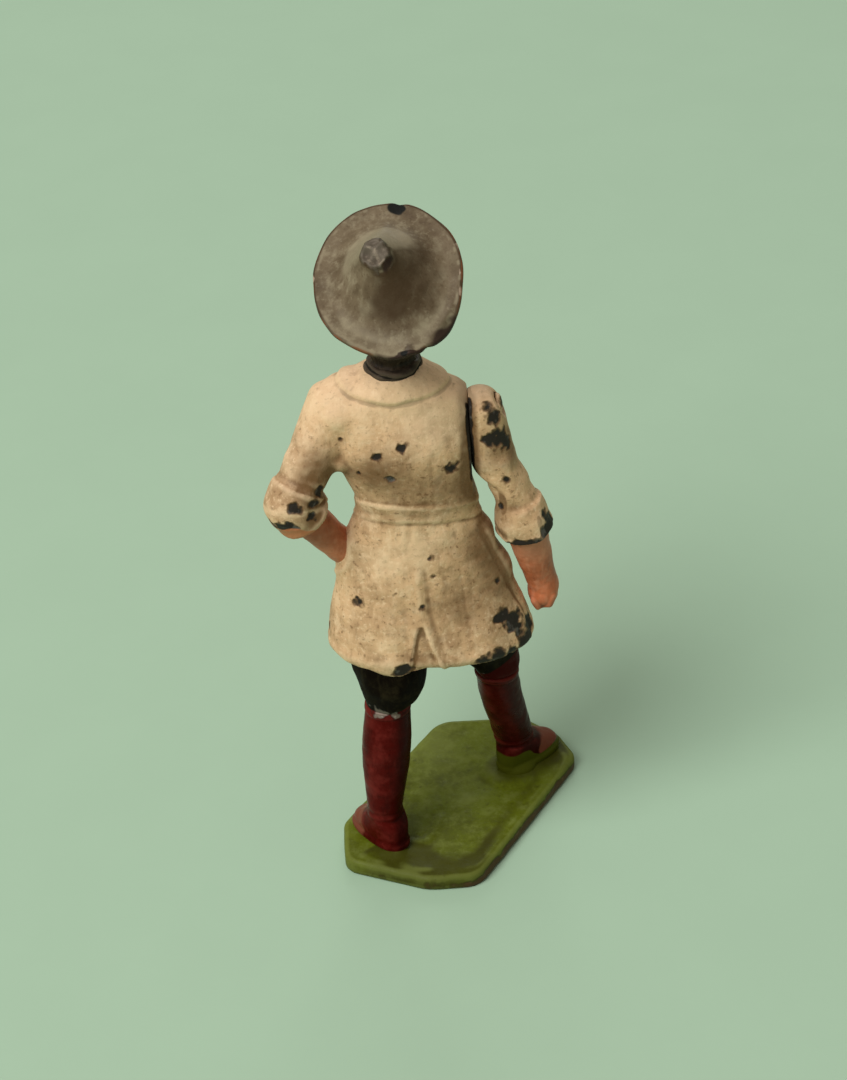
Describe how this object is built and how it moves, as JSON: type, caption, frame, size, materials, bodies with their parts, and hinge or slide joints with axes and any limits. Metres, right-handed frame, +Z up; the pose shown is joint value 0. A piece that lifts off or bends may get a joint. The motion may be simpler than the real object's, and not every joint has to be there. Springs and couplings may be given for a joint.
{
  "type": "lead toy figure",
  "caption": "Cast lead toy figure of a walking man in a broad hat and belted coat on a flat base, with an arm that swings on a shoulder stud.",
  "frame": {"origin": "middle of the base's plan, on its underside", "axes": "+Z up through the figure, the figure facing -Y, its left side at +X"},
  "size_m": [0.0242, 0.0198, 0.0583],
  "materials": {
    "cream_paint": "worn matt enamel on lead",
    "khaki_paint": "worn matt enamel on lead",
    "flesh_paint": "worn satin enamel on lead",
    "maroon_paint": "worn gloss enamel on lead",
    "black_paint": "worn satin enamel on lead",
    "brown_paint": "worn satin enamel on lead",
    "green_paint": "worn gloss enamel on lead",
    "bare_lead": "bare oxidised lead"
  },
  "bodies": {
    "figure": {"base_plate": "green_paint", "left_boot": "maroon_paint", "right_boot": "maroon_paint", "left_gaiter": "maroon_paint", "right_gaiter": "maroon_paint", "left_breeches": "black_paint", "right_breeches": "black_paint", "coat_skirt": "cream_paint", "belt": "cream_paint", "coat_body": "cream_paint", "collar": "cream_paint", "left_sleeve": "cream_paint", "left_cuff": "cream_paint", "left_forearm": "flesh_paint", "neckerchief": "black_paint", "head": "flesh_paint", "hair": "brown_paint", "hat": "khaki_paint", "shoulder_stud": "bare_lead"},
    "right_arm": {"right_sleeve": "cream_paint", "right_cuff": "cream_paint", "right_hand": "flesh_paint"}
  },
  "joints": [
    {"name": "right_arm_swing", "type": "hinge", "parent": "figure", "child": "right_arm", "pos_m": [-0.00225, 0.00112, 0.04335], "axis": [-1, 0, 0], "continuous": true}
  ]
}
